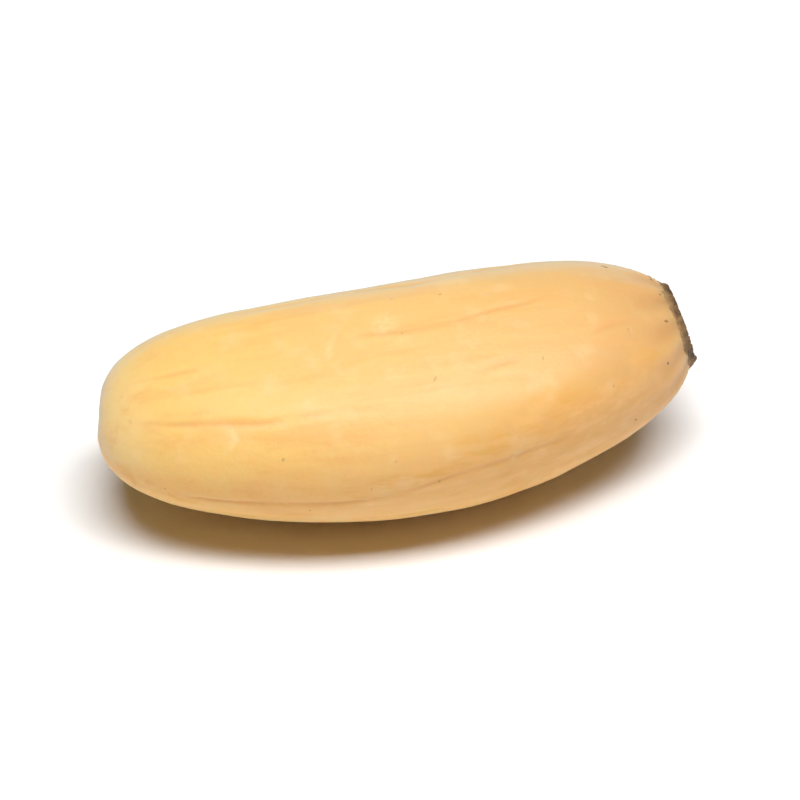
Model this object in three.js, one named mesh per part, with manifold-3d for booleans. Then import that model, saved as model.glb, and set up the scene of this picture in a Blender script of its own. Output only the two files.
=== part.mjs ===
// A shelled pine nut: one ivory kernel, slightly bent, with a small brown cap on its narrow end. It lies on
// its side on a small flat spot. Sizes are in millimetres. +X runs from the blunt end to the capped end, -Y
// is the side that bulges, and +Z is up. The origin is in the middle of the kernel's footprint, on the
// surface that it lies on.

import * as THREE from "three";
import { mergeVertices } from "three/addons/utils/BufferGeometryUtils.js";
import Module from "manifold-3d";

const { degToRad, smoothstep } = THREE.MathUtils;

// Driving dimensions
const LENGTH = 14.1; // from the blunt end to the shoulder of the cap
const WIDTH = 6.25;
const HEIGHT = 5.2;
const WIDEST_SHARE = 0.58; // how far along the length the kernel is thickest

// Each end is half of a superellipse. Powers over 2 make it blunter than an ellipse. The blunt end leans, so
// that its front and underside reach a little further out than its top and back.
const BLUNT_END = { alongPower: 2.25, acrossPower: 2.8, lean: degToRad(7.5), leanEndShare: 0.3 };
const CAPPED_END = { alongPower: 1.9, acrossPower: 2.45 };

// The centreline is a parabola, level at one share of the length and rising towards both ends.
const BEND = { levelShare: 0.43, backwards: 3.15, upwards: 1.7 };

// The cap: a flat end with a raised rim, a dish inside it and a nub in the middle, facing up and back a little.
const CAP = {
  radius: 1.03,
  rimHeight: 0.12,
  rimWidth: 0.2,
  dishDepth: 0.1,
  nubRadius: 0.3,
  nubHeight: 0.2,
  tiltUp: degToRad(14),
  tiltBack: degToRad(4),
  tiltStartShare: 0.78,
};

// Short pleats run back from the cap's rim.
const PLEATS = { count: 12, depth: 0.045, reach: 1.5 };

// Faint lengthwise flats, as waves round the section: how many, how high, where the first crest is, and how
// far the crests turn from end to end. Sides are angles: 0 is the back, 90 the top, 180 the front and 270 the
// underside.
const FLATS = [
  { waves: 3, height: 0.06, crest: degToRad(176), twist: degToRad(-40) },
  { waves: 5, height: 0.035, crest: degToRad(120), twist: degToRad(30) },
];

// Shallow hollows and, with a depth below 0, low ridges. Each is at a share of the length and a side, with
// its half length, half breadth and depth. A ridge over a hollow makes the edge of a flat face that looks down
// and forwards.
const HOLLOWS = [
  { share: 0.74, side: degToRad(196), halfLength: 2.8, halfBreadth: degToRad(24), depth: 0.15 },
  { share: 0.32, side: degToRad(203), halfLength: 3.4, halfBreadth: degToRad(22), depth: 0.1 },
  { share: 0.74, side: degToRad(146), halfLength: 3.0, halfBreadth: degToRad(13), depth: -0.07 },
  { share: 0.36, side: degToRad(160), halfLength: 4.4, halfBreadth: degToRad(13), depth: -0.07 },
  { share: 0.45, side: degToRad(5), halfLength: 3.2, halfBreadth: degToRad(24), depth: 0.12 },
  { share: 0.3, side: degToRad(100), halfLength: 1.9, halfBreadth: degToRad(30), depth: 0.06 },
  { share: 0.64, side: degToRad(320), halfLength: 2.0, halfBreadth: degToRad(26), depth: 0.08 },
];

// How it lies: tipped about Y, then cut flat underneath.
const PITCH = degToRad(-1.7);
const FLAT_DEPTH = 0.1;

// Mesh density
const RINGS_PER_END = 22;
const SIDES = 72;

// The outline from the axis at the blunt end to the shoulder of the cap. Radii are shares of the thickest.
function bodyOutline() {
  const widest = LENGTH * WIDEST_SHARE;
  const outline = [];
  for (let i = 0; i < RINGS_PER_END; i++) {
    const along = Math.cos((i / RINGS_PER_END) * (Math.PI / 2));
    const radius = Math.pow(1 - Math.pow(along, BLUNT_END.alongPower), 1 / BLUNT_END.acrossPower);
    outline.push(new THREE.Vector2(radius, widest * (1 - along)));
  }
  const capShare = CAP.radius / meanRadius;
  const capAlong = Math.pow(1 - Math.pow(capShare, CAPPED_END.acrossPower), 1 / CAPPED_END.alongPower);
  for (let i = 0; i <= RINGS_PER_END; i++) {
    const along = Math.sin((i / RINGS_PER_END) * Math.asin(capAlong));
    const radius = Math.pow(1 - Math.pow(along, CAPPED_END.alongPower), 1 / CAPPED_END.acrossPower);
    outline.push(new THREE.Vector2(radius, widest + ((LENGTH - widest) * along) / capAlong));
  }
  return outline;
}

// The outline of the cap, from its rim inwards to the top of the nub on the axis.
function capOutline() {
  const rimCrest = CAP.radius - CAP.rimWidth / 2;
  const rimInside = CAP.radius - CAP.rimWidth;
  return [
    [rimCrest + CAP.rimWidth / 4, CAP.rimHeight * 0.8],
    [rimCrest, CAP.rimHeight],
    [rimInside, CAP.rimHeight / 2],
    [(rimInside + CAP.nubRadius) / 2, -CAP.dishDepth],
    [CAP.nubRadius, -CAP.dishDepth / 2],
    [CAP.nubRadius / 2, CAP.nubHeight * 0.8],
    [0, CAP.nubHeight],
  ].map(([radius, height]) => new THREE.Vector2(radius / meanRadius, LENGTH + height));
}

const meanRadius = (WIDTH + HEIGHT) / 4;

// The smallest turn from one side to another, from -180 to 180 degrees.
function turnBetween(side, other) {
  return Math.atan2(Math.sin(side - other), Math.cos(side - other));
}

// How far the surface stands out from the plain section, in millimetres.
function relief(along, side) {
  const share = along / LENGTH;
  const flats = FLATS.reduce(
    (sum, { waves, height, crest, twist }) => sum + height * Math.cos(waves * (side - crest - twist * share)),
    0,
  );
  const hollows = HOLLOWS.reduce((sum, { share: middle, side: faced, halfLength, halfBreadth, depth }) => {
    const lengthwise = ((share - middle) * LENGTH) / halfLength;
    const crosswise = turnBetween(side, faced) / halfBreadth;
    return sum + depth * Math.exp(-lengthwise * lengthwise - crosswise * crosswise);
  }, 0);
  const nearCap = smoothstep(along, LENGTH - PLEATS.reach, LENGTH);
  const pleats = PLEATS.depth * nearCap * Math.cos(PLEATS.count * side);
  return flats + pleats - hollows;
}

// A point of the kernel from its place along the axis, its radius as a share of the thickest, and its side.
function surfacePoint(along, radiusShare, side) {
  const share = along / LENGTH;
  const outward = relief(along, side) * radiusShare;
  const across = (radiusShare * WIDTH * 0.5 + outward) * Math.cos(side);
  const up = (radiusShare * HEIGHT * 0.5 + outward) * Math.sin(side);
  const nearBlunt = 1 - smoothstep(share, 0, BLUNT_END.leanEndShare);
  const lean = nearBlunt * (up + across) * Math.tan(BLUNT_END.lean);
  const nearCap = smoothstep(share, CAP.tiltStartShare, 1);
  const tilt = nearCap * (up * Math.tan(CAP.tiltUp) + across * Math.tan(CAP.tiltBack));
  const fromLevel = (share - BEND.levelShare) ** 2;
  return new THREE.Vector3(
    along + lean - tilt,
    across + BEND.backwards * fromLevel,
    up + BEND.upwards * fromLevel,
  );
}

// The whole kernel before its flat spot is cut: a turned outline whose points are moved to their real place.
function kernelGeometry() {
  const geometry = new THREE.LatheGeometry([...bodyOutline(), ...capOutline()], SIDES);
  const position = geometry.getAttribute("position");
  const turned = new THREE.Vector3();
  for (let i = 0; i < position.count; i++) {
    turned.fromBufferAttribute(position, i);
    const side = Math.atan2(turned.z, -turned.x);
    const point = surfacePoint(turned.y, Math.hypot(turned.x, turned.z), side);
    position.setXYZ(i, point.x, point.y, point.z);
  }
  geometry.rotateY(PITCH);
  geometry.computeBoundingBox();
  geometry.translate(0, 0, -geometry.boundingBox.min.z - FLAT_DEPTH);
  return geometry;
}

// A closed solid from a geometry. Shared points are merged, and faces that collapsed at the poles left out.
function solidOf(wasm, geometry) {
  const bare = new THREE.BufferGeometry();
  bare.setAttribute("position", geometry.getAttribute("position"));
  bare.setIndex(geometry.getIndex());
  const merged = mergeVertices(bare, 1e-4);
  const corners = merged.getIndex().array;
  const kept = [];
  for (let i = 0; i < corners.length; i += 3) {
    const [a, b, c] = corners.slice(i, i + 3);
    if (a !== b && b !== c && c !== a) kept.push(a, b, c);
  }
  const vertProperties = new Float32Array(merged.getAttribute("position").array);
  return new wasm.Manifold(new wasm.Mesh({ numProp: 3, vertProperties, triVerts: new Uint32Array(kept) }));
}

function geometryOf(solid) {
  const { vertProperties, triVerts } = solid.getMesh();
  const geometry = new THREE.BufferGeometry();
  geometry.setAttribute("position", new THREE.BufferAttribute(vertProperties, 3));
  geometry.setIndex(new THREE.BufferAttribute(triVerts, 1));
  geometry.computeVertexNormals();
  return geometry;
}

// A block under the surface that the kernel lies on, larger than the kernel all round.
function underground() {
  const size = LENGTH * 2;
  return new THREE.BoxGeometry(size, size, size).translate(LENGTH / 2, 0, -size / 2);
}

const wasm = await Module();
wasm.setup();

const whole = solidOf(wasm, kernelGeometry());
const resting = geometryOf(whole.subtract(solidOf(wasm, underground())));
resting.computeBoundingBox();
const middle = resting.boundingBox.getCenter(new THREE.Vector3());
resting.translate(-middle.x, -middle.y, 0);

const ivory = new THREE.MeshStandardMaterial({ color: 0xf3cd8c, roughness: 0.55, metalness: 0 });
const kernel = new THREE.Mesh(resting, ivory);
kernel.name = "kernel";

const nut = new THREE.Group();
nut.add(kernel);

export default nut;
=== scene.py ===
# A shelled pine nut: one ivory kernel, slightly bent, lying on its side. Its narrow end has a cap, a small
# dished face whose rim still holds a ragged ring of brown seed skin, and scraps of skin cling near it.
# Lengths are in millimetres until a mesh is made, and then in metres. +X runs from the blunt end to the
# capped end, -Y is the side that bulges, and +Z is up. Sides are angles round the section: 0 is the back,
# 90 the top, 180 the front and 270 the underside.

import math

import bpy
import numpy as np
from mathutils import Euler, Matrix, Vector


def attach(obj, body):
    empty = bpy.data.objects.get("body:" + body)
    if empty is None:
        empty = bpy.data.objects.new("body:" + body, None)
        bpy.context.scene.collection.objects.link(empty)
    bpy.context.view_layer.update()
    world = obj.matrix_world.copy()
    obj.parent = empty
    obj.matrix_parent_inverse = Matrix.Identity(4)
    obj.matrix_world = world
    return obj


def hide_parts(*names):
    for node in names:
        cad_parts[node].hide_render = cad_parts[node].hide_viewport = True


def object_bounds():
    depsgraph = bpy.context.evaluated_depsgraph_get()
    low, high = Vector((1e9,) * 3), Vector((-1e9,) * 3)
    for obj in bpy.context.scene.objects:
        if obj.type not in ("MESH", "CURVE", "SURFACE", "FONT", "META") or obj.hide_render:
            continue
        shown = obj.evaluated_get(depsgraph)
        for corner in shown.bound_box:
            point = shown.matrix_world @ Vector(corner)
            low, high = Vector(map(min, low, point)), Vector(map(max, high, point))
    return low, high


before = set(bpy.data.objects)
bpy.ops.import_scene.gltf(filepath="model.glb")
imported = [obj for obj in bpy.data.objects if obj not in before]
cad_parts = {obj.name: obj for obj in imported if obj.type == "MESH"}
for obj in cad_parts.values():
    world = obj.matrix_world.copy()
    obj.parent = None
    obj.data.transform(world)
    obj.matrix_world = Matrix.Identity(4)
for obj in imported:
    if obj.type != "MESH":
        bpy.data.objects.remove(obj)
cad_low, cad_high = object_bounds()

MM = 0.001

# The kernel's own sizes, by the names that the node trees give them
SIZES = {
    "Length": 14.1,
    "Width": 6.25,
    "Height": 5.2,
    "Widest share": 0.58,
    "Blunt end along": 2.25,
    "Blunt end across": 2.8,
    "Blunt end lean": math.radians(7.5),
    "Lean end share": 0.3,
    "Capped end along": 1.9,
    "Capped end across": 2.45,
    "Level share": 0.43,
    "Bend backwards": 3.15,
    "Bend upwards": 1.7,
    "Cap radius": 1.03,
    "Rim height": 0.12,
    "Rim width": 0.2,
    "Dish depth": 0.1,
    "Nub radius": 0.3,
    "Nub height": 0.2,
    "Tilt up": math.radians(14),
    "Tilt back": math.radians(4),
    "Tilt start share": 0.78,
    "Pleat depth": 0.045,
    "Pleat reach": 1.5,
    "Pitch": math.radians(-1.7),
}
PLEATS = 12
FLAT_DEPTH = 0.1

# Waves round the section: how many, how high, the side of the first crest, and how far the crests turn from
# end to end
FLATS = [
    (3, 0.06, math.radians(176), math.radians(-40)),
    (5, 0.035, math.radians(120), math.radians(30)),
]

# Shallow hollows: share of the length, side, half length, half breadth and depth, which is below 0 for a
# ridge
HOLLOWS = [
    (0.74, math.radians(196), 2.8, math.radians(24), 0.15),
    (0.32, math.radians(203), 3.4, math.radians(22), 0.10),
    (0.74, math.radians(146), 3.0, math.radians(13), -0.07),
    (0.36, math.radians(160), 4.4, math.radians(13), -0.07),
    (0.45, math.radians(5), 3.2, math.radians(24), 0.12),
    (0.30, math.radians(100), 1.9, math.radians(30), 0.06),
    (0.64, math.radians(320), 2.0, math.radians(26), 0.08),
]

# Lengthwise grooves that the skin's veins left: the side of each at the blunt end
GROOVE_SIDES = [math.radians(degrees) for degrees in (18, 66, 103, 137, 189, 236, 302)]
GROOVE_TURN = math.radians(-22)
GROOVE_WANDER = math.radians(26)
GROOVE_HALF_BREADTH = math.radians(1.7)
GROOVE_DEPTH = 0.035

# Rubbed places: share of the length, side, half length, half breadth, and how far the ends bow towards the
# cap
SCUFFS = [
    (0.39, math.radians(101), 0.09, math.radians(13), 0.25),
    (0.49, math.radians(88), 0.30, math.radians(6), 0.0),
    (0.67, math.radians(172), 0.20, math.radians(4), 0.0),
    (0.22, math.radians(143), 0.10, math.radians(8), -0.20),
    (0.57, math.radians(24), 0.11, math.radians(11), -0.25),
    (0.33, math.radians(328), 0.25, math.radians(7), 0.0),
    (0.80, math.radians(301), 0.10, math.radians(9), 0.20),
]
SCUFF_DEPTH = 0.018

# The rest of the fine relief: how deep it is, and how broad the blunt end's pit is, as a share of the whole
WRINKLE_DEPTH = 0.035
DIMPLE_DEPTH = 0.05
PORE_DEPTH = 0.03
PIT_DEPTH = 0.05
PIT_BREADTH = 0.17

# The face that looks down and forwards from the first crest is painted with shade: how softly its edge
# starts, how far down it ends, and how far its edge waves
LOW_FACE_EDGE = math.radians(14)
LOW_FACE_END = math.radians(125)
LOW_FACE_WAVE = math.radians(50)

# Where the widest ring and the cap's rim are, as shares of the outline from the blunt end's pole to the nub
WIDEST_AT = 0.42
RIM_AT = 0.86


class Field:
    """A value in a node tree, so that a formula for nodes reads like a sum."""

    def __init__(self, tree, socket):
        self.tree = tree
        self.socket = socket

    def math(self, operation, *others):
        node = self.tree.nodes.new("ShaderNodeMath")
        node.operation = operation
        for entry, value in zip(node.inputs, (self, *others)):
            feed(entry, value)
        return Field(self.tree, node.outputs[0])

    def __add__(self, other):
        return self.math("ADD", other)

    def __mul__(self, other):
        return self.math("MULTIPLY", other)

    def __sub__(self, other):
        return self.math("SUBTRACT", other)

    def __rsub__(self, other):
        return self * -1 + other

    def __truediv__(self, other):
        return self.math("DIVIDE", other)

    def __rtruediv__(self, other):
        return self ** -1 * other

    def __pow__(self, other):
        return self.math("POWER", other)

    __radd__ = __add__
    __rmul__ = __mul__

    def between(self, low, high):
        return self.math("MAXIMUM", low).math("MINIMUM", high)

    def smooth(self, low, high):
        """0 below low, 1 above high and an even slope between. high may be the lower one."""
        node = self.tree.nodes.new("ShaderNodeMapRange")
        node.interpolation_type = "SMOOTHSTEP"
        feed(node.inputs["Value"], self)
        feed(node.inputs["From Min"], low)
        feed(node.inputs["From Max"], high)
        return Field(self.tree, node.outputs["Result"])

    def bell(self):
        """1 at 0, falling off to both sides."""
        return (self * self * -1).math("EXPONENT")


def feed(entry, value):
    """Links a field or a socket to a node's input, or sets a plain value there."""
    if isinstance(value, Field):
        value.tree.links.new(value.socket, entry)
    elif isinstance(value, bpy.types.NodeSocket):
        value.id_data.links.new(value, entry)
    else:
        entry.default_value = value


def add_node(tree, kind, given=None, **settings):
    """A new node with its settings, and with its inputs given by name."""
    node = tree.nodes.new(kind)
    for name, value in settings.items():
        setattr(node, name, value)
    for name, value in (given or {}).items():
        feed(next(entry for entry in node.inputs if entry.name == name and entry.enabled), value)
    return node


def vectors(tree, operation, *values):
    """A vector worked out from others, and from a plain number where the operation is SCALE."""
    node = add_node(tree, "ShaderNodeVectorMath", operation=operation)
    entries = [entry for entry in node.inputs if entry.enabled]
    for entry, value in zip(entries, values):
        feed(entry, value)
    return Field(tree, node.outputs[0])


def length_of(tree, vector):
    node = add_node(tree, "ShaderNodeVectorMath", {"Vector": vector}, operation="LENGTH")
    return Field(tree, node.outputs["Value"])


def combine(tree, x, y, z):
    return Field(tree, add_node(tree, "ShaderNodeCombineXYZ", {"X": x, "Y": y, "Z": z}).outputs[0])


def separate(tree, vector):
    node = add_node(tree, "ShaderNodeSeparateXYZ", {"Vector": vector})
    return [Field(tree, out) for out in node.outputs]


def noise(tree, vector, scale, detail=2.0, roughness=0.5):
    given = {"Vector": vector, "Scale": scale, "Detail": detail, "Roughness": roughness}
    return Field(tree, add_node(tree, "ShaderNodeTexNoise", given).outputs[0])


def spots(tree, vector, scale, radius, share):
    """Small round spots, 1 in their middles, in the given share of the cells of a pattern."""
    cells = add_node(tree, "ShaderNodeTexVoronoi", {"Vector": vector, "Scale": scale})
    near = Field(tree, cells.outputs["Distance"]).smooth(radius, radius * 0.3)
    draw = separate(tree, cells.outputs["Color"])[0]
    return near * draw.math("LESS_THAN", share)


SOCKETS = {int: "NodeSocketInt", float: "NodeSocketFloat"}
VALUE = "NodeSocketFloat"
PLACE = "NodeSocketVector"
MESH = "NodeSocketGeometry"


def new_tree(name, kind, inputs, outputs):
    """A node tree with named inputs and outputs. Returns it, its inputs as fields and its output node."""
    tree = bpy.data.node_groups.new(name, kind)
    for label, default in inputs.items():
        socket_type = default if isinstance(default, str) else SOCKETS[type(default)]
        entry = tree.interface.new_socket(label, in_out="INPUT", socket_type=socket_type)
        if not isinstance(default, str):
            entry.default_value = default
    for label, socket_type in outputs.items():
        tree.interface.new_socket(label, in_out="OUTPUT", socket_type=socket_type)
    start = tree.nodes.new("NodeGroupInput")
    given = {label: Field(tree, start.outputs[label]) for label in inputs}
    return tree, given, tree.nodes.new("NodeGroupOutput")


def placed(tree, group, given):
    """A group's node in a tree. Returns its outputs by name, as fields."""
    kind = "GeometryNodeGroup" if tree.bl_idname == "GeometryNodeTree" else "ShaderNodeGroup"
    node = tree.nodes.new(kind)
    node.node_tree = group
    for name, value in given.items():
        feed(node.inputs[name], value)
    return {out.name: Field(tree, out) for out in node.outputs}


# The kernel's surface


def outline(given):
    """A ring's place along the axis, its radius as a share of the thickest, and how far past the rim."""
    at = given["Outline share"]
    length = given["Length"]
    widest = length * given["Widest share"]
    cap_share = given["Cap radius"] / ((given["Width"] + given["Height"]) * 0.25)

    blunt = ((at / WIDEST_AT).between(0, 1) * (math.pi / 2)).math("COSINE")
    blunt_radius = (1 - blunt ** given["Blunt end along"]) ** (1 / given["Blunt end across"])
    blunt_along = widest * (1 - blunt)

    cap_reach = (1 - cap_share ** given["Capped end across"]) ** (1 / given["Capped end along"])
    turn = ((at - WIDEST_AT) / (RIM_AT - WIDEST_AT)).between(0, 1) * cap_reach.math("ARCSINE")
    capped = turn.math("SINE")
    capped_radius = (1 - capped ** given["Capped end along"]) ** (1 / given["Capped end across"])
    capped_along = widest + (length - widest) * capped / cap_reach

    inwards = ((at - RIM_AT) / (1 - RIM_AT)).between(0, 1)
    from_axis = (1 - inwards) * given["Cap radius"]
    rim_turn = (inwards * given["Cap radius"] / given["Rim width"]).between(0, 1) * math.pi
    rim = given["Rim height"] * rim_turn.math("SINE") ** 2
    rim_inside = given["Cap radius"] - given["Rim width"]
    dish = given["Dish depth"] * from_axis.smooth(rim_inside, given["Nub radius"])
    nub = (given["Nub height"] + given["Dish depth"]) * (from_axis / given["Nub radius"]).bell()

    on_blunt = at.math("LESS_THAN", WIDEST_AT)
    on_cap = at.math("GREATER_THAN", RIM_AT)
    on_capped = 1 - on_blunt - on_cap
    along = blunt_along * on_blunt + capped_along * on_capped + (length + rim - dish + nub) * on_cap
    radius = blunt_radius * on_blunt + capped_radius * on_capped + cap_share * (1 - inwards) * on_cap
    past_rim = (along - length) * (1 - on_cap) + inwards * given["Cap radius"] * on_cap
    return along, radius, past_rim


def turn_between(side, other):
    """The smallest turn from one side to another, from half a turn back to half a turn on."""
    turn = side - other
    return turn.math("SINE").math("ARCTAN2", turn.math("COSINE"))


def relief(given, share, along, side):
    """How far the surface stands out from the plain section: flats and pleats less the hollows."""
    length = given["Length"]
    total = given["Pleat depth"] * along.smooth(length - given["Pleat reach"], length)
    total = total * (side * PLEATS).math("COSINE")
    for waves, height, crest, twist in FLATS:
        total = total + ((side - crest - share * twist) * waves).math("COSINE") * height
    for middle, faced, half_length, half_breadth, depth in HOLLOWS:
        lengthwise = ((share - middle) * length / half_length).bell()
        total = total - lengthwise * (turn_between(side, faced) / half_breadth).bell() * depth
    return total


SURFACE_VALUES = {"Position": PLACE, "Past rim": VALUE, "Length share": VALUE, "Radius share": VALUE}


def surface_group():
    """The kernel's surface: a point of it from its share of the outline and its side."""
    inputs = {"Outline share": 0.0, "Side": 0.0, **SIZES}
    tree, given, end = new_tree("kernel surface", "GeometryNodeTree", inputs, SURFACE_VALUES)
    along, radius, past_rim = outline(given)
    share = along / given["Length"]
    side = given["Side"]
    outward = relief(given, share, along, side) * radius
    across = (radius * given["Width"] * 0.5 + outward) * side.math("COSINE")
    up = (radius * given["Height"] * 0.5 + outward) * side.math("SINE")

    near_blunt = share.smooth(given["Lean end share"], 0.0)
    lean = near_blunt * (up + across) * given["Blunt end lean"].math("TANGENT")
    near_cap = share.smooth(given["Tilt start share"], 1.0)
    tilt = near_cap * (up * given["Tilt up"].math("TANGENT") + across * given["Tilt back"].math("TANGENT"))
    from_level = (share - given["Level share"]) ** 2.0
    x = along + lean - tilt
    y = across + given["Bend backwards"] * from_level
    z = up + given["Bend upwards"] * from_level

    cosine = given["Pitch"].math("COSINE")
    sine = given["Pitch"].math("SINE")
    feed(end.inputs["Position"], combine(tree, x * cosine + z * sine, y, z * cosine - x * sine))
    feed(end.inputs["Past rim"], past_rim)
    feed(end.inputs["Length share"], share)
    feed(end.inputs["Radius share"], radius)
    return tree


SURFACE_STEP = 0.002


def facing_group(surface):
    """A point of the surface with the direction that it faces, found from two points close by."""
    inputs = {"Outline share": 0.0, "Side": 0.0, **SIZES}
    outputs = {**SURFACE_VALUES, "Outward": PLACE}
    tree, given, end = new_tree("kernel surface facing", "GeometryNodeTree", inputs, outputs)
    spot = placed(tree, surface, given)
    ahead = placed(tree, surface, {**given, "Outline share": given["Outline share"] + SURFACE_STEP})
    beside = placed(tree, surface, {**given, "Side": given["Side"] + SURFACE_STEP})
    to_ahead = vectors(tree, "SUBTRACT", ahead["Position"], spot["Position"])
    to_beside = vectors(tree, "SUBTRACT", beside["Position"], spot["Position"])
    across_both = vectors(tree, "CROSS_PRODUCT", to_beside, to_ahead)
    feed(end.inputs["Outward"], vectors(tree, "NORMALIZE", across_both))
    for name in SURFACE_VALUES:
        feed(end.inputs[name], spot[name])
    return tree


def marks_group():
    """Fine relief of the flesh: its depth in millimetres, and how rubbed and grooved it is, from 0 to 1."""
    inputs = {"Point": PLACE, "Length share": 0.0, "Radius share": 0.0, "Side": 0.0}
    outputs = {"Depth": VALUE, "Scuff": VALUE, "Groove": VALUE}
    tree, given, end = new_tree("flesh marks", "GeometryNodeTree", inputs, outputs)
    point = given["Point"]
    share = given["Length share"]
    side = given["Side"]
    wrinkles = noise(tree, vectors(tree, "MULTIPLY", point, (0.3, 1.9, 1.9)), 1.0, 3.0, 0.55)
    dimples = noise(tree, point, 0.85, 2.0, 0.5)
    pores = spots(tree, point, 1.6, 0.12, 0.35)

    ends = share.smooth(0.02, 0.16) * share.smooth(0.97, 0.85)
    wander = (noise(tree, point, 0.22, 1.0) - 0.5) * GROOVE_WANDER
    present = noise(tree, point, 0.5, 1.0).smooth(0.38, 0.6)
    groove = present * 0
    for first in GROOVE_SIDES:
        away = turn_between(side, share * GROOVE_TURN + wander + first)
        groove = groove + (away / GROOVE_HALF_BREADTH).bell()
    groove = groove * present * ends

    scuff = present * 0
    for middle, faced, half_length, half_breadth, bow in SCUFFS:
        crosswise = turn_between(side, faced) / half_breadth
        bowed = crosswise ** 2.0 * (bow / half_length)
        lengthwise = (share - middle) * (SIZES["Length"] / half_length) - bowed
        scuff = scuff + lengthwise.bell() * crosswise.bell()
    scuff = scuff * noise(tree, point, 7.0, 2.0).smooth(0.3, 0.6)

    pit = (given["Radius share"] / PIT_BREADTH).bell() * share.smooth(0.5, 0.4)
    depth = wrinkles * WRINKLE_DEPTH + dimples * DIMPLE_DEPTH + pores * PORE_DEPTH
    depth = depth + groove * GROOVE_DEPTH + scuff * SCUFF_DEPTH + pit * PIT_DEPTH
    feed(end.inputs["Depth"], depth)
    feed(end.inputs["Scuff"], scuff)
    feed(end.inputs["Groove"], groove)
    return tree


# Node trees that make the pieces


def stored(tree, geometry, name, value):
    """The geometry with a value kept at each point, for the material to read."""
    given = {"Geometry": geometry, "Name": name, "Value": value}
    node = add_node(tree, "GeometryNodeStoreNamedAttribute", given, data_type="FLOAT", domain="POINT")
    return node.outputs[0]


def moved(tree, geometry, **to):
    """The geometry with its points at a Position, or moved by an Offset."""
    return add_node(tree, "GeometryNodeSetPosition", {"Geometry": geometry, **to}).outputs[0]


def sizes_of(given):
    return {name: given[name] for name in SIZES}


def here(tree):
    return tree.nodes.new("GeometryNodeInputPosition").outputs[0]


def finished(tree, end, geometry, material):
    """Ends a tree: instances made real, smooth faces, millimetres made metres, and the material set."""
    real = add_node(tree, "GeometryNodeRealizeInstances", {"Geometry": geometry}).outputs[0]
    smooth = add_node(tree, "GeometryNodeSetShadeSmooth", {"Geometry": real}).outputs[0]
    metres = add_node(tree, "GeometryNodeTransform", {"Geometry": smooth, "Scale": (MM, MM, MM)}).outputs[0]
    last = add_node(tree, "GeometryNodeSetMaterial", {"Geometry": metres, "Material": material})
    feed(end.inputs["Geometry"], last.outputs[0])


def kernel_tree(surface, marks, material):
    """The whole kernel: a ball whose points are moved to their places on the surface, and then marked."""
    inputs = {"Sides": 270, "Rings": 360, "Mark strength": 1.0, **SIZES}
    tree, given, end = new_tree("kernel", "GeometryNodeTree", inputs, {"Geometry": MESH})
    ball_size = {"Segments": given["Sides"], "Rings": given["Rings"], "Radius": 1.0}
    ball = add_node(tree, "GeometryNodeMeshUVSphere", ball_size)
    x, y, z = separate(tree, here(tree))
    at = (z * -1).between(-1, 1).math("ARCCOSINE") / math.pi
    side = y.math("ARCTAN2", x)
    spot = placed(tree, surface, {"Outline share": at, "Side": side, **sizes_of(given)})
    place = {name: spot[name] for name in ("Length share", "Radius share")}
    mark = placed(tree, marks, {"Point": spot["Position"], "Side": side, **place})
    near_cap = spot["Past rim"].smooth(given["Pleat reach"] * -1, 0.0)
    crest, twist = FLATS[0][2:]
    # The face that looks down and forwards, which the flesh's material paints with shade
    wavy = (noise(tree, spot["Position"], 0.9, 3.0) - 0.5) * LOW_FACE_WAVE
    below = turn_between(side, spot["Length share"] * twist + wavy + crest)
    shaded_low_face = below.smooth(LOW_FACE_EDGE * -0.5, LOW_FACE_EDGE)
    shaded_low_face = shaded_low_face * below.smooth(LOW_FACE_END, LOW_FACE_END * 0.6)
    geometry = ball.outputs["Mesh"]
    kept_values = {
        "past_rim": spot["Past rim"],
        "depth": mark["Depth"],
        "scuff": mark["Scuff"],
        "groove": mark["Groove"],
        "pleat": (1 - (side * PLEATS).math("COSINE")) * 0.5 * near_cap,
        "shaded_low_face": shaded_low_face,
    }
    for name, value in kept_values.items():
        geometry = stored(tree, geometry, name, value)
    bare = moved(tree, geometry, Position=spot["Position"])
    depth = add_node(tree, "GeometryNodeInputNamedAttribute", {"Name": "depth"}, data_type="FLOAT")
    lift = given["Mark strength"] * -1 * Field(tree, depth.outputs[0])
    normal = tree.nodes.new("GeometryNodeInputNormal").outputs[0]
    marked = moved(tree, bare, Offset=vectors(tree, "SCALE", normal, lift))
    finished(tree, end, marked, material)
    return tree


def on_flesh(tree, facing, marks, given, at, side, lift):
    """A place at a height over the marked flesh, and the surface's own values there."""
    spot = placed(tree, facing, {"Outline share": at, "Side": side, **sizes_of(given)})
    place = {name: spot[name] for name in ("Length share", "Radius share")}
    mark = placed(tree, marks, {"Point": spot["Position"], "Side": side, **place})
    over = vectors(tree, "SCALE", spot["Outward"], lift - mark["Depth"])
    return vectors(tree, "ADD", spot["Position"], over), spot


def circle(tree, points, radius):
    given = {"Resolution": points, "Radius": radius}
    return add_node(tree, "GeometryNodeCurvePrimitiveCircle", given).outputs[0]


BAND_RADIUS = 0.25  # of the skin ring's section, while it is still laid round a ring of radius 1
SPUR_FALL = 60  # how fast the skin's spur falls off along the outline
ELSEWHERE = (7.0, 3.0, 0.0)  # a step to another part of the noise, so that the two edges differ


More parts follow.
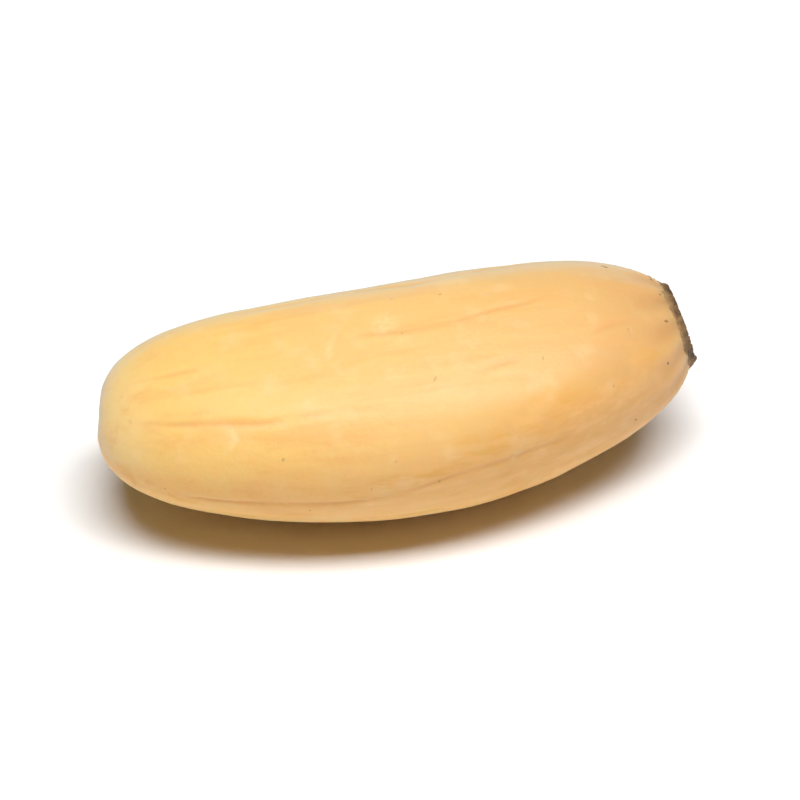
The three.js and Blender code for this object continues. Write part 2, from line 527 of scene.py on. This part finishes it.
def skin_ring_tree(facing, marks, material):
    """A ring of skin on the cap's rim: a closed band with ragged edges whose faces follow the surface."""
    inputs = {
        "Sides": 400,
        "Steps": 36,
        "Thickness": 0.032,
        "Outer reach": 0.012,
        "Inner reach": 0.05,
        "Raggedness": 0.1,
        "Spur side": math.radians(222),
        "Spur half breadth": math.radians(7),
        "Spur height": 0.11,
        **SIZES,
    }
    tree, given, end = new_tree("skin ring", "GeometryNodeTree", inputs, {"Geometry": MESH})
    ring = circle(tree, given["Sides"], 1.0)
    section = circle(tree, given["Steps"], BAND_RADIUS)
    tube = add_node(tree, "GeometryNodeCurveToMesh", {"Curve": ring, "Profile Curve": section})
    x, y, z = separate(tree, here(tree))
    from_middle = ((x * x + y * y) ** 0.5 - 1) / BAND_RADIUS
    face = z / BAND_RADIUS
    side = y.math("ARCTAN2", x)
    round_ring = combine(tree, x, y, 0.0)
    ragged = noise(tree, round_ring, 2.6, 5.0, 0.68) - 0.5
    ragged_inside = noise(tree, vectors(tree, "ADD", round_ring, ELSEWHERE), 3.4, 5.0, 0.6) - 0.5
    outer = RIM_AT - given["Outer reach"] - ragged * given["Raggedness"]
    inner = RIM_AT + given["Inner reach"] + ragged_inside * given["Raggedness"] * 0.5
    at = outer + (inner - outer) * (from_middle + 1) * 0.5

    spur = (turn_between(side, given["Spur side"]) / given["Spur half breadth"]).bell() * face.between(0, 1)
    spur = spur * ((at - RIM_AT) * SPUR_FALL).bell()
    crumpled = noise(tree, combine(tree, x, y, at * 5), 6.0, 3.0, 0.6) + 0.4
    lift = face * given["Thickness"] * crumpled + spur * given["Spur height"]
    position, _ = on_flesh(tree, facing, marks, given, at, side, lift)
    geometry = stored(tree, tube.outputs[0], "skin_edge", from_middle.math("ABSOLUTE") ** 3.0)
    finished(tree, end, moved(tree, geometry, Position=position), material)
    return tree


def drawn(tree, low, high, seed):
    """A number drawn for each point, between two others."""
    given = {"Min": low, "Max": high, "Seed": seed}
    node = add_node(tree, "FunctionNodeRandomValue", given, data_type="FLOAT")
    return Field(tree, next(out for out in node.outputs if out.enabled))


FLECK_GAP = 0.02  # between the rim and the nearest flecks, as a share of the outline


def flecks_tree(facing, marks, material):
    """Scraps of skin that cling to the flesh: flat ragged flakes, most of them close to the cap."""
    inputs = {
        "Count": 18,
        "Seed": 3,
        "Spread": 0.16,
        "Crowding": 1.7,
        "Smallest": 0.016,
        "Largest": 0.055,
        "Thickness": 0.009,
        "Longest": 2.2,
        "Largest turn": 0.7,
        "Raggedness": 0.05,
        "Tan of the edges": 0.8,
        **SIZES,
    }
    tree, given, end = new_tree("skin flecks", "GeometryNodeTree", inputs, {"Geometry": MESH})
    seed = given["Seed"]
    at = RIM_AT - FLECK_GAP - drawn(tree, 0.0, 1.0, seed) ** given["Crowding"] * given["Spread"]
    side = drawn(tree, 0.0, math.tau, seed + 1)
    position, spot = on_flesh(tree, facing, marks, given, at, side, 0.0)
    points = add_node(tree, "GeometryNodeMeshLine", {"Count": given["Count"]}).outputs[0]
    points = moved(tree, points, Position=position)
    breadth = drawn(tree, given["Smallest"], given["Largest"], seed + 2)
    stretch = drawn(tree, 1.0, given["Longest"], seed + 3)
    size = combine(tree, breadth * stretch, breadth, given["Thickness"])
    upright = add_node(tree, "FunctionNodeAlignRotationToVector", {"Vector": spot["Outward"]}, axis="Z")
    flake = add_node(tree, "GeometryNodeMeshIcoSphere", {"Radius": 1.0, "Subdivisions": 2}).outputs[0]
    laid = {"Points": points, "Instance": flake, "Rotation": upright.outputs[0], "Scale": size}
    flakes = add_node(tree, "GeometryNodeInstanceOnPoints", laid).outputs[0]
    turn = drawn(tree, given["Largest turn"] * -1, given["Largest turn"], seed + 4)
    turned = {"Instances": flakes, "Rotation": combine(tree, 0.0, 0.0, turn)}
    flakes = add_node(tree, "GeometryNodeRotateInstances", turned).outputs[0]
    flakes = add_node(tree, "GeometryNodeRealizeInstances", {"Geometry": flakes}).outputs[0]
    wave = add_node(tree, "ShaderNodeTexNoise", {"Vector": here(tree), "Scale": 9.0, "Detail": 1.0})
    from_middle = vectors(tree, "SUBTRACT", wave.outputs["Color"], (0.5, 0.5, 0.5))
    ragged = moved(tree, flakes, Offset=vectors(tree, "SCALE", from_middle, given["Raggedness"]))
    finished(tree, end, stored(tree, ragged, "skin_edge", given["Tan of the edges"]), material)
    return tree


def made(name, tree, values=None):
    """A plain mesh object from a tree, with its inputs set first."""
    maker = bpy.data.objects.new(name + "_maker", bpy.data.meshes.new(name + "_maker"))
    bpy.context.scene.collection.objects.link(maker)
    modifier = maker.modifiers.new("make", "NODES")
    modifier.node_group = tree
    for item in tree.interface.items_tree:
        if item.in_out == "INPUT" and item.name in (values or {}):
            modifier[item.identifier] = values[item.name]
    graph = bpy.context.evaluated_depsgraph_get()
    mesh = bpy.data.meshes.new_from_object(
        maker.evaluated_get(graph), preserve_all_data_layers=True, depsgraph=graph
    )
    maker.modifiers.remove(modifier)
    bpy.data.objects.remove(maker)
    mesh.name = name
    piece = bpy.data.objects.new(name, mesh)
    bpy.context.scene.collection.objects.link(piece)
    return piece


def corners(piece):
    places = np.empty(len(piece.data.vertices) * 3)
    piece.data.vertices.foreach_get("co", places)
    return places.reshape(-1, 3)


def resting_shift(surface, marks):
    """How far the bare surface moves to where the kernel rests: in the middle, its flat on the floor."""
    bare = made("bare_kernel", kernel_tree(surface, marks, None), {"Mark strength": 0.0})
    low = corners(bare).min(0)
    high = corners(bare).max(0)
    bpy.data.objects.remove(bare)
    middle = (np.array(cad_low) + np.array(cad_high)) / 2
    shift = middle - (low + high) / 2
    shift[2] = -low[2] - FLAT_DEPTH * MM
    return shift


def settle(piece, shift):
    """Puts a piece where the kernel lies, with nothing below the floor."""
    places = corners(piece) + shift
    places[:, 2] = np.maximum(places[:, 2], 0)
    piece.data.vertices.foreach_set("co", places.ravel())
    piece.data.update()


# Materials


def grain_group():
    """Lengthwise grain, from 0 to 1: broad streaks, and a fine tooth that is only as long as it is wide."""
    inputs = {"Point": PLACE, "Streaks across": 2.4, "Streaks along": 0.22, "Tooth": 7.0}
    outputs = {"Streak": VALUE, "Tooth": VALUE}
    tree, given, end = new_tree("lengthwise grain", "ShaderNodeTree", inputs, outputs)
    scales = combine(tree, given["Streaks along"], given["Streaks across"], given["Streaks across"])
    stretched = vectors(tree, "MULTIPLY", given["Point"], scales)
    feed(end.inputs["Streak"], noise(tree, stretched, 1.0, 4.0, 0.6))
    feed(end.inputs["Tooth"], noise(tree, given["Point"], given["Tooth"], 4.0, 0.6))
    return tree


def mottle_group():
    """Uneven colour: soft clouds from 0 to 1, and small specks that are 1 in their middles."""
    inputs = {
        "Point": PLACE,
        "Cloud scale": 0.35,
        "Speck scale": 1.9,
        "Speck radius": 0.1,
        "Speck share": 0.3,
    }
    tree, given, end = new_tree("mottle", "ShaderNodeTree", inputs, {"Cloud": VALUE, "Speck": VALUE})
    feed(end.inputs["Cloud"], noise(tree, given["Point"], given["Cloud scale"], 3.0))
    wavy = noise(tree, given["Point"], 4.0, 2.0) * 0.25
    warped = vectors(tree, "ADD", given["Point"], combine(tree, wavy, wavy, wavy))
    speck = spots(tree, warped, given["Speck scale"], given["Speck radius"], given["Speck share"])
    feed(end.inputs["Speck"], speck)
    return tree


def plain_material(name):
    material = bpy.data.materials.new(name)
    material.use_nodes = True
    material.node_tree.nodes.clear()
    tree = material.node_tree
    shader = tree.nodes.new("ShaderNodeBsdfPrincipled")
    out = tree.nodes.new("ShaderNodeOutputMaterial")
    tree.links.new(shader.outputs[0], out.inputs["Surface"])
    return material, tree, shader


def mixed(tree, factor, first, second):
    """A colour between two, each a socket or a plain colour."""
    node = tree.nodes.new("ShaderNodeMix")
    node.data_type = "RGBA"
    feed(node.inputs["Factor"], factor)
    feed(node.inputs[6], first)
    feed(node.inputs[7], second)
    return node.outputs[2]


def tinted(tree, colour, tints):
    """A colour with tints laid over it in turn, each given as its strength and its own colour."""
    for strength, tint in tints.values():
        colour = mixed(tree, strength, colour, (*tint, 1))
    return colour


def millimetres(tree):
    """The object's own coordinates in millimetres."""
    place = tree.nodes.new("ShaderNodeTexCoord").outputs["Object"]
    return vectors(tree, "SCALE", place, 1 / MM)


def kept(tree, name):
    """A value that was stored at the mesh's points."""
    node = tree.nodes.new("ShaderNodeAttribute")
    node.attribute_name = name
    return Field(tree, node.outputs["Fac"])


def bumped(tree, shader, height, strength, distance):
    given = {"Strength": strength, "Distance": distance * MM, "Height": height}
    feed(shader.inputs["Normal"], add_node(tree, "ShaderNodeBump", given).outputs[0])


SHADE_PATCH_PLACE = (3.4, -2.6, 2.3)  # the middle of a browner patch of painted shade, low on the front near the cap
SHADE_PATCH_RADIUS = 2.6


def flesh_material(grain, mottle):
    """Ivory flesh: yellower at the blunt end, more orange towards the cap, streaked, rubbed and stained.
    Painted shade lies on the face that looks down and forwards and on a browner patch low on the front near
    the cap; at glancing angles, away from the cap and that face, it has a pale painted sheen and painted
    shade at the very outline."""
    material, tree, shader = plain_material("ivory_flesh")
    point = millimetres(tree)
    x = separate(tree, point)[0]
    fibre = placed(tree, grain, {"Point": point})
    patches = placed(tree, grain, {"Point": point, "Streaks across": 2.3, "Streaks along": 0.5})["Streak"]
    soft = placed(tree, mottle, {"Point": point})
    finer = {"Cloud scale": 1.3, "Speck scale": 3.1, "Speck share": 0.12}
    fine = placed(tree, mottle, {"Point": point, **finer})
    past_rim = kept(tree, "past_rim")
    shaded_low_face = kept(tree, "shaded_low_face")

    drift = x + (soft["Cloud"] - 0.5) * 5
    # A browner patch of painted shade, low on the front near the cap
    from_shade_patch = length_of(tree, vectors(tree, "SUBTRACT", point, SHADE_PATCH_PLACE))
    front_shade_patch = (from_shade_patch + (soft["Cloud"] - 0.5) * 2.5).smooth(SHADE_PATCH_RADIUS, SHADE_PATCH_RADIUS * 0.3)
    stain = past_rim + (fibre["Streak"] - 0.5) * 0.9 + (fine["Cloud"] - 0.5) * 0.5
    # Painted edge tones at glancing angles, everywhere but the cap and the low face: a pale painted sheen,
    # and painted shade at the very outline
    glancing = Field(tree, add_node(tree, "ShaderNodeLayerWeight", {"Blend": 0.5}).outputs["Facing"])
    painted_edge_mask = past_rim.smooth(0.0, -1.0) * (1 - shaded_low_face)
    tints = {
        "capped end": (drift.smooth(0.0, 6.5), (0.74, 0.44, 0.16)),
        "blunt tip": (x.smooth(-5.5, -7.2) * 0.6, (0.98, 0.72, 0.36)),
        # Painted shade, browner, low on the front near the cap
        "front_shade_patch": (front_shade_patch * 0.6, (0.77, 0.42, 0.11)),
        # Painted shade on the face that looks down and forwards, made uneven by paler and browner patches
        "painted shade on the low face": (shaded_low_face * 0.5, (0.97, 0.52, 0.15)),
        "paler patches of the painted shade": (shaded_low_face * patches.smooth(0.5, 0.62) * 0.5, (0.97, 0.58, 0.22)),
        "browner patches of the painted shade": (shaded_low_face * patches.smooth(0.48, 0.36) * 0.6, (0.82, 0.44, 0.08)),
        "streaks": (fibre["Streak"].smooth(0.45, 0.8) * 0.5, (0.86, 0.44, 0.14)),
        "clouds": (fine["Cloud"].smooth(0.5, 0.75) * 0.3, (0.97, 0.70, 0.36)),
        "grooves": (kept(tree, "groove") * 0.5, (0.80, 0.42, 0.13)),
        "scuffs": (kept(tree, "scuff") * 0.6, (0.96, 0.72, 0.36)),
        "specks": (soft["Speck"] * 0.5, (0.45, 0.22, 0.07)),
        "fine specks": (fine["Speck"] * 0.35, (0.55, 0.30, 0.10)),
        "stain by the cap": (stain.smooth(-3.0, 0.2) * 0.7, (0.72, 0.41, 0.16)),
        "pleats": (kept(tree, "pleat") * stain.smooth(-1.7, -0.2) * 0.7, (0.60, 0.30, 0.11)),
        "cap": (past_rim.smooth(0.0, 0.25) * 0.7, (0.50, 0.28, 0.10)),
        "nub": (past_rim.smooth(0.75, 0.95) * 0.8, (0.22, 0.10, 0.035)),
        # A pale painted sheen at glancing angles, then painted shade at the very outline
        "glancing": (painted_edge_mask * glancing.smooth(0.4, 0.9) * 0.6, (0.76, 0.66, 0.45)),
        "most glancing": (painted_edge_mask * glancing.smooth(0.75, 1.0) * 0.45, (0.52, 0.42, 0.27)),
    }
    colour = mixed(tree, drift.smooth(-6.5, 1.0), (0.93, 0.60, 0.19, 1), (0.89, 0.56, 0.21, 1))
    feed(shader.inputs["Base Color"], tinted(tree, colour, tints))

    feed(shader.inputs["Roughness"], soft["Cloud"] * 0.14 + fibre["Streak"] * 0.12 + 0.40)
    bumped(tree, shader, fibre["Tooth"] + fibre["Streak"] * 0.7 + fine["Cloud"] * 0.5, 0.4, 0.03)
    shader.inputs["Subsurface Weight"].default_value = 0.55
    shader.inputs["Subsurface Radius"].default_value = (1.0, 0.5, 0.22)
    shader.inputs["Subsurface Scale"].default_value = 1.4 * MM
    shader.inputs["IOR"].default_value = 1.46
    shader.inputs["Sheen Weight"].default_value = 0.2
    shader.inputs["Sheen Roughness"].default_value = 0.3
    shader.inputs["Sheen Tint"].default_value = (0.85, 0.80, 0.74, 1)
    return material


def skin_material(grain, mottle):
    """Brown seed skin: fibrous, darkest in the middle of the ring, thin and tan at its torn edges."""
    material, tree, shader = plain_material("seed_skin")
    point = millimetres(tree)
    given = {"Point": point, "Streaks across": 6.0, "Streaks along": 1.6, "Tooth": 14.0}
    fibre = placed(tree, grain, given)
    given = {"Point": point, "Cloud scale": 2.4, "Speck scale": 7.0, "Speck share": 0.4}
    blotch = placed(tree, mottle, given)
    tints = {
        "streaks": (fibre["Streak"].smooth(0.45, 0.75) * 0.6, (0.32, 0.19, 0.09)),
        "torn edges": (kept(tree, "skin_edge") * 0.7, (0.52, 0.32, 0.14)),
        "specks": (blotch["Speck"] * 0.5, (0.03, 0.017, 0.009)),
    }
    colour = mixed(tree, blotch["Cloud"].smooth(0.35, 0.65), (0.07, 0.04, 0.02, 1), (0.19, 0.11, 0.05, 1))
    feed(shader.inputs["Base Color"], tinted(tree, colour, tints))
    feed(shader.inputs["Roughness"], blotch["Cloud"] * 0.2 + 0.5)
    bumped(tree, shader, fibre["Streak"] + fibre["Tooth"] * 0.5, 0.6, 0.02)
    shader.inputs["Specular IOR Level"].default_value = 0.25
    shader.inputs["Subsurface Weight"].default_value = 0.1
    shader.inputs["Subsurface Scale"].default_value = 0.2 * MM
    return material


# The pieces

grain = grain_group()
mottle = mottle_group()
flesh = flesh_material(grain, mottle)
skin = skin_material(grain, mottle)
surface = surface_group()
facing = facing_group(surface)
marks = marks_group()
shift = resting_shift(surface, marks)

kernel = made("pine_kernel", kernel_tree(surface, marks, flesh))
settle(kernel, shift)
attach(kernel, "root")
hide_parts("kernel")

skin_pieces = {
    "skin_ring": made("skin_ring", skin_ring_tree(facing, marks, skin)),
    "skin_flecks": made("skin_flecks", flecks_tree(facing, marks, skin)),
}
for piece in skin_pieces.values():
    settle(piece, shift)
    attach(piece, "root")

# Floor, light and camera

FLOOR_HALF = 0.6
FLOOR_GAP = 0.00001

floor_mesh = bpy.data.meshes.new("floor")
floor_corners = [(-1, -1), (1, -1), (1, 1), (-1, 1)]
floor_places = [(a * FLOOR_HALF, b * FLOOR_HALF, -FLOOR_GAP) for a, b in floor_corners]
floor_mesh.from_pydata(floor_places, [], [(0, 1, 2, 3)])
floor = bpy.data.objects.new("floor", floor_mesh)
bpy.context.scene.collection.objects.link(floor)
paper, _, paper_shader = plain_material("white_paper")
paper_shader.inputs["Base Color"].default_value = (0.91, 0.91, 0.91, 1)
paper_shader.inputs["Roughness"].default_value = 0.8
paper_shader.inputs["Specular IOR Level"].default_value = 0.2
floor_mesh.materials.append(paper)

world = bpy.data.worlds.new("studio")
bpy.context.scene.world = world
world.use_nodes = True
world.node_tree.nodes["Background"].inputs["Color"].default_value = (1.0, 0.76, 0.42, 1)
world.node_tree.nodes["Background"].inputs["Strength"].default_value = 0.02

LAMP_DISTANCE = 0.6
LAMP_TURN = (math.radians(9.5), math.radians(4.5), 0)
LAMP_HALF_ANGLES = (math.radians(21), math.radians(9))  # lengthwise and crosswise, as seen from the kernel

lamp = bpy.data.lights.new("overhead_softbox", "AREA")
lamp.shape = "RECTANGLE"
lamp.size, lamp.size_y = [2 * LAMP_DISTANCE * math.tan(angle) for angle in LAMP_HALF_ANGLES]
lamp.energy = 4.75
lamp_object = bpy.data.objects.new("overhead_softbox", lamp)
bpy.context.scene.collection.objects.link(lamp_object)
lamp_object.rotation_euler = LAMP_TURN
lamp_object.location = Euler(LAMP_TURN).to_matrix() @ Vector((0, 0, LAMP_DISTANCE))

AZIMUTH = math.radians(-9)
ELEVATION = math.radians(42)
FRAME_WIDTH = 0.0190  # how much of the object's plane the picture spans

camera = bpy.data.cameras.new("camera")
camera.lens = 150
camera.sensor_width = 36
camera_object = bpy.data.objects.new("camera", camera)
bpy.context.scene.collection.objects.link(camera_object)
back = Vector(
    (
        math.sin(AZIMUTH) * math.cos(ELEVATION),
        -math.cos(AZIMUTH) * math.cos(ELEVATION),
        math.sin(ELEVATION),
    )
)
distance = FRAME_WIDTH * camera.lens / camera.sensor_width
camera_object.location = (Vector(cad_low) + Vector(cad_high)) / 2 + back * distance
camera_object.rotation_mode = "QUATERNION"
camera_object.rotation_quaternion = (-back).to_track_quat("-Z", "Y")
camera.clip_start = distance * 0.1
camera.clip_end = distance * 50
bpy.context.scene.camera = camera_object
bpy.context.scene.view_settings.view_transform = "Standard"
